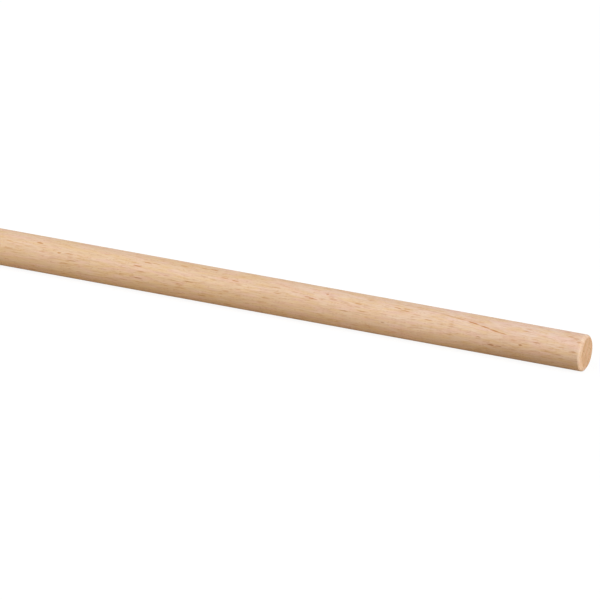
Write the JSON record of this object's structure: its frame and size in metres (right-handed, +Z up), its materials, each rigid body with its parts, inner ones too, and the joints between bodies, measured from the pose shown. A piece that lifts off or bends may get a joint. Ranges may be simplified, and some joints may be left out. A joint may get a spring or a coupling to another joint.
{
  "type": "wooden dowel rod",
  "caption": "Straight round wooden rod with flat ends and softly rounded end edges, used as a peg, axle, handle or spindle stock.",
  "frame": {"origin": "centre of the rod, at mid-length on its own axis", "axes": "+X along the rod, from one end to the other, +Y across it, +Z up with the rod lying level; the shape is the same all round and end for end"},
  "size_m": [0.3048, 0.0126, 0.0126],
  "materials": {
    "pale_hardwood": "matte"
  },
  "bodies": {
    "root": {"dowel_rod": "pale_hardwood"}
  },
  "joints": []
}
